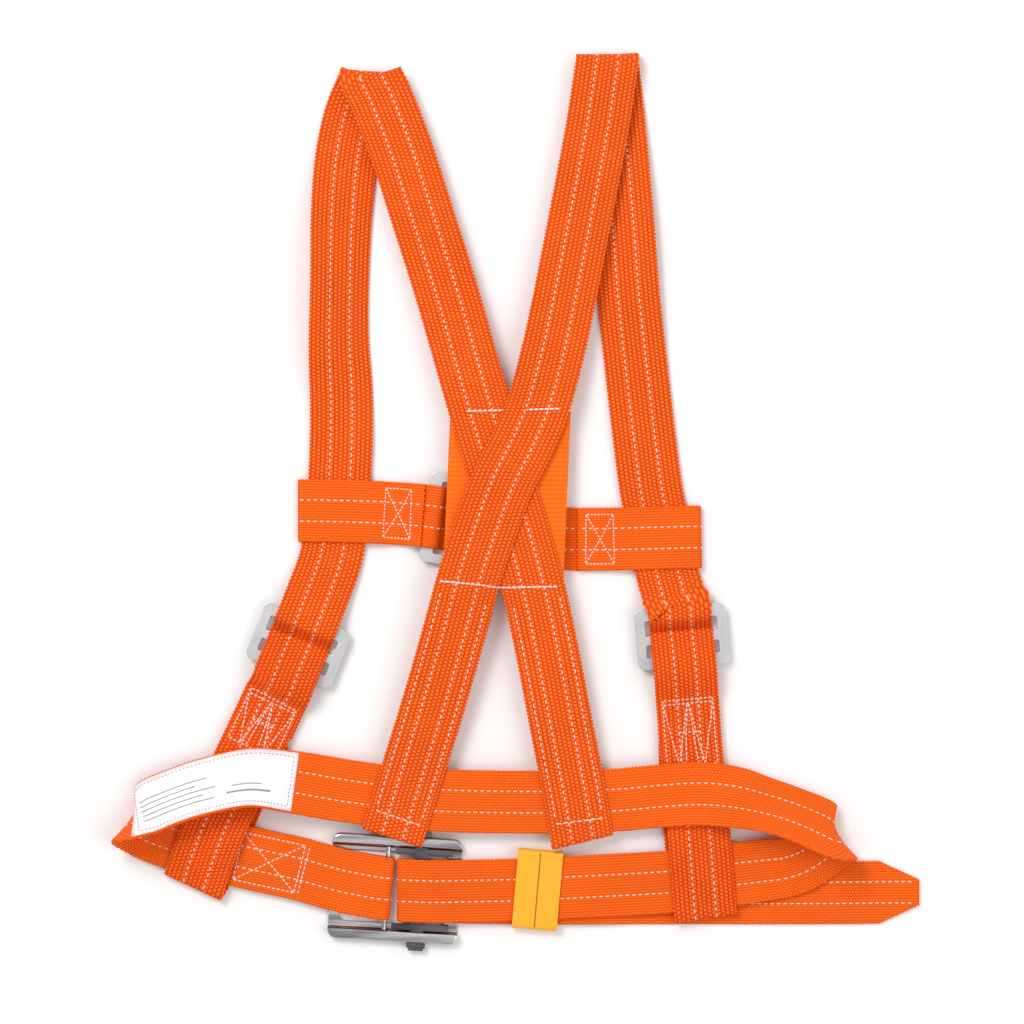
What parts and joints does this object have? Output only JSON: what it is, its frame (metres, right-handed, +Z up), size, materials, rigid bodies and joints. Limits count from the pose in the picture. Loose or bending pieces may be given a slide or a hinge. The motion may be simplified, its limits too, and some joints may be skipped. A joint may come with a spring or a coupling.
{
  "type": "safety harness",
  "caption": "Back-strap safety harness laid flat face down: crossed shoulder straps on a pad, chest strap, side straps with slide adjusters, and a waist belt with buckle and keeper.",
  "frame": {"origin": "middle of the flat-laid harness's bounding box, on the surface it lies on", "axes": "+X across the wearer's back towards the free end of the belt, +Y towards the shoulders, +Z up from the surface, out of the wearer's back"},
  "size_m": [0.5652, 0.63, 0.0353],
  "materials": {
    "shoulder_webbing": "woven polyester webbing, two rows of pale stitching",
    "belt_webbing": "finer woven polyester webbing, two rows of pale stitching",
    "side_webbing": "woven polyester webbing, zigzag stitched joint",
    "pad": "ribbed pad cloth over thin foam",
    "label": "smooth coated white label, stitched border",
    "adjuster_steel": "bright zinc plated pressed steel",
    "buckle_chrome": "bright chrome plated pressed steel",
    "slider_steel": "dark plated steel",
    "keeper": "flat yellow moulded sleeve with a welded seam"
  },
  "bodies": {
    "harness": {"left_shoulder_front_strap": "shoulder_webbing", "left_shoulder_back_strap": "shoulder_webbing", "left_back_strap_return": "shoulder_webbing", "right_shoulder_front_strap": "shoulder_webbing", "right_shoulder_back_strap": "shoulder_webbing", "right_back_strap_return": "shoulder_webbing", "left_side_strap": "side_webbing", "right_side_strap": "side_webbing", "waist_belt_left_front": "belt_webbing", "waist_belt_back": "belt_webbing", "waist_belt_right_front": "belt_webbing", "waist_belt_tail": "belt_webbing", "size_label": "label", "back_pad": "pad", "buckle_frame": "buckle_chrome", "buckle_fixed_bar": "buckle_chrome"},
    "chest_strap": {"chest_strap_left": "belt_webbing", "chest_strap_right": "belt_webbing"},
    "chest_adjuster": {"chest_adjuster": "adjuster_steel"},
    "left_adjuster": {"left_adjuster": "adjuster_steel"},
    "right_adjuster": {"right_adjuster": "adjuster_steel"},
    "buckle_slider": {"buckle_slider": "slider_steel"},
    "belt_keeper": {"belt_keeper": "keeper"}
  },
  "joints": [
    {"name": "chest_strap_slide", "type": "slide", "parent": "harness", "child": "chest_strap", "axis": [0, 1, 0], "range_m": [0, 0.012]},
    {"name": "chest_adjuster_tilt", "type": "hinge", "parent": "chest_strap", "child": "chest_adjuster", "pos_m": [-0.04168, -0.01285, 0.0049], "axis": [0.1392, 0.9903, 0], "range_deg": [-1, 1]},
    {"name": "left_adjuster_tilt", "type": "hinge", "parent": "harness", "child": "left_adjuster", "pos_m": [-0.15341, -0.1012, 0.0061], "axis": [0.9304, -0.3665, 0], "range_deg": [-2, 2]},
    {"name": "right_adjuster_tilt", "type": "hinge", "parent": "harness", "child": "right_adjuster", "pos_m": [0.11583, -0.09538, 0.0061], "axis": [0.9962, 0.0872, 0], "range_deg": [-2, 2]},
    {"name": "buckle_slider_slide", "type": "slide", "parent": "harness", "child": "buckle_slider", "axis": [0.9981, -0.0611, 0], "range_m": [-0.0025, 0.0055]},
    {"name": "keeper_slide", "type": "slide", "parent": "harness", "child": "belt_keeper", "axis": [1, 0, 0], "range_m": [-0.02, 0.02]}
  ]
}
